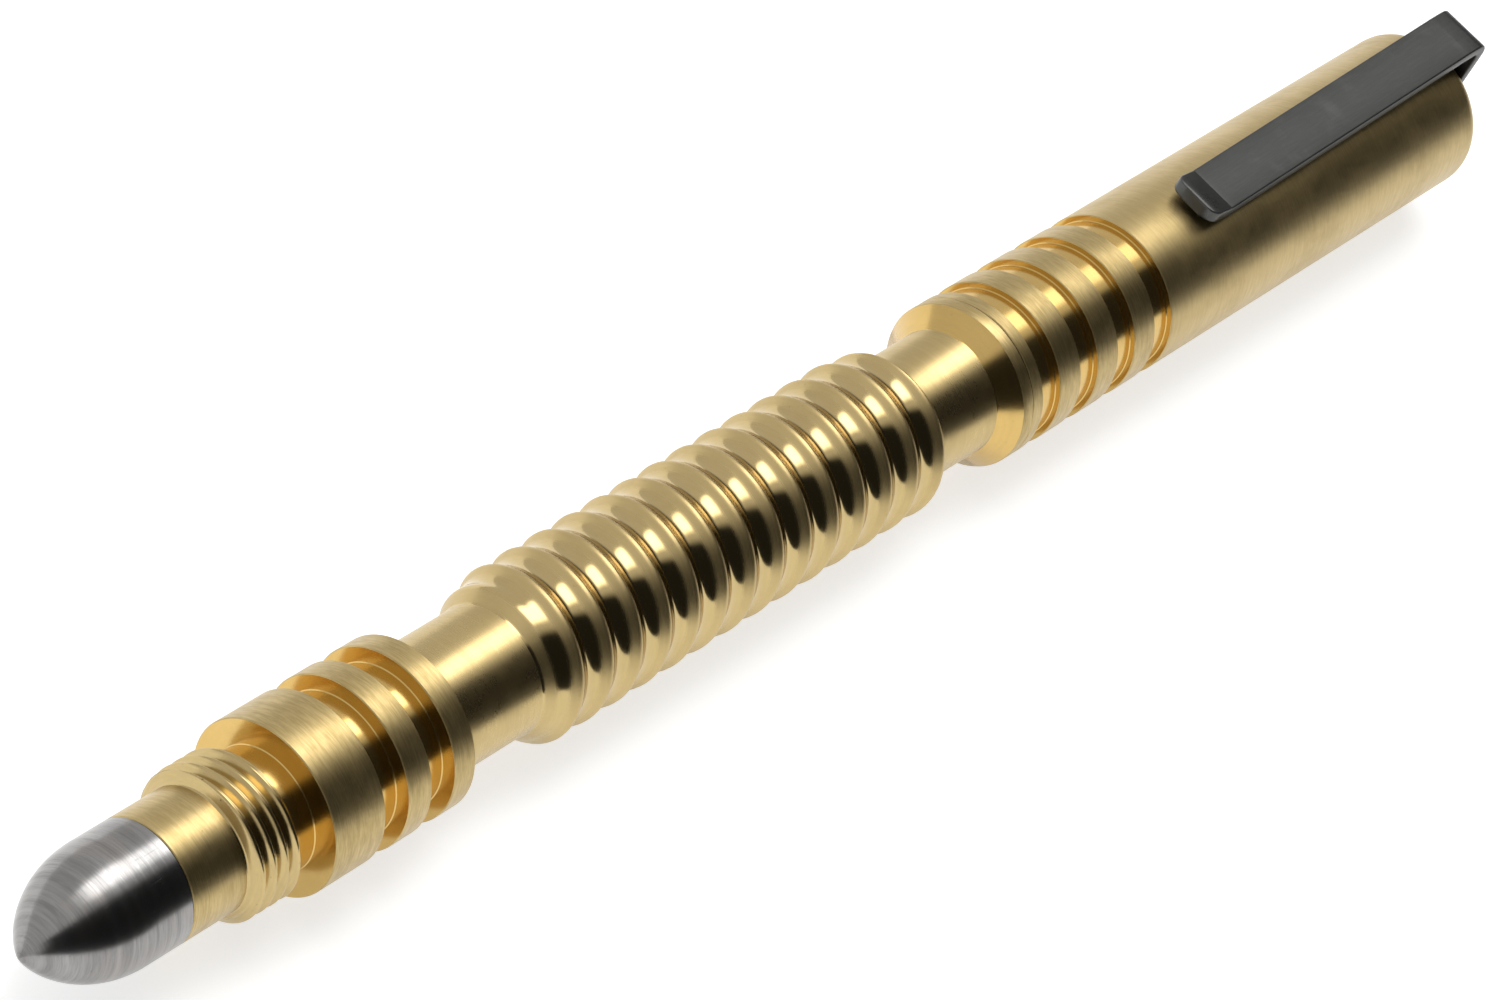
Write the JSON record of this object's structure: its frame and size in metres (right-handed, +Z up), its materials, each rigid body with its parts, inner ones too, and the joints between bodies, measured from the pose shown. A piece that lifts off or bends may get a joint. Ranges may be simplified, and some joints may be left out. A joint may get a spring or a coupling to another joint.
{
  "type": "machined pen",
  "caption": "Turned brass pen with a pointed steel striking tip, ribbed grip, grooved collars and a screw-on cap that carries a spring clip.",
  "frame": {"origin": "centre of the pen's box on the surface it lies on, so the pen's axis is 6.35 mm above it", "axes": "+X along the pen from the striking tip to the cap's closed end, +Z up through the clip, +Y across"},
  "size_m": [0.1528, 0.0126, 0.0157],
  "materials": {
    "brass": "turned and part polished",
    "steel": "ground satin",
    "clip": "dark matt coated spring steel",
    "screw": "dark coated",
    "seal": "matt",
    "refill_metal": "bright drawn tube",
    "refill_plastic": "moulded",
    "brass_point": "bright turned",
    "ball": "polished",
    "spring": "bright wire"
  },
  "bodies": {
    "barrel": {"barrel": "brass", "refill_tube": "refill_metal", "refill_plug": "refill_plastic", "refill_point": "brass_point", "refill_spring": "spring"},
    "writing_ball": {"writing_ball": "ball"},
    "tip_seal": {"tip_seal": "seal"},
    "striking_tip": {"striking_tip": "steel"},
    "cap_seal": {"cap_seal": "seal"},
    "cap": {"cap": "brass", "clip_foot": "clip", "clip_screw": "screw"},
    "clip_arm": {"clip_arm": "clip"}
  },
  "joints": [
    {"name": "cap_turn", "type": "hinge", "parent": "barrel", "child": "cap_seal", "pos_m": [0.0249, 0, 0.00635], "axis": [1, 0, 0], "range_deg": [0, 1350]},
    {"name": "cap_pull", "type": "slide", "parent": "cap_seal", "child": "cap", "axis": [1, 0, 0], "range_m": [0, 0.045]},
    {"name": "clip_flex", "type": "hinge", "parent": "cap", "child": "clip_arm", "pos_m": [0.07333, 0, 0.01515], "axis": [0, 1, 0], "range_deg": [0, 5], "stiffness_Nm_per_rad": 1.5},
    {"name": "tip_pull", "type": "slide", "parent": "barrel", "child": "tip_seal", "axis": [-1, 0, 0], "range_m": [0, 0.012]},
    {"name": "tip_turn", "type": "hinge", "parent": "tip_seal", "child": "striking_tip", "pos_m": [-0.06435, 0, 0.00635], "axis": [-1, 0, 0], "range_deg": [0, 2160]},
    {"name": "ball_roll", "type": "hinge", "parent": "barrel", "child": "writing_ball", "pos_m": [0.05529, 0, 0.00635], "axis": [0, 1, 0], "continuous": true}
  ]
}
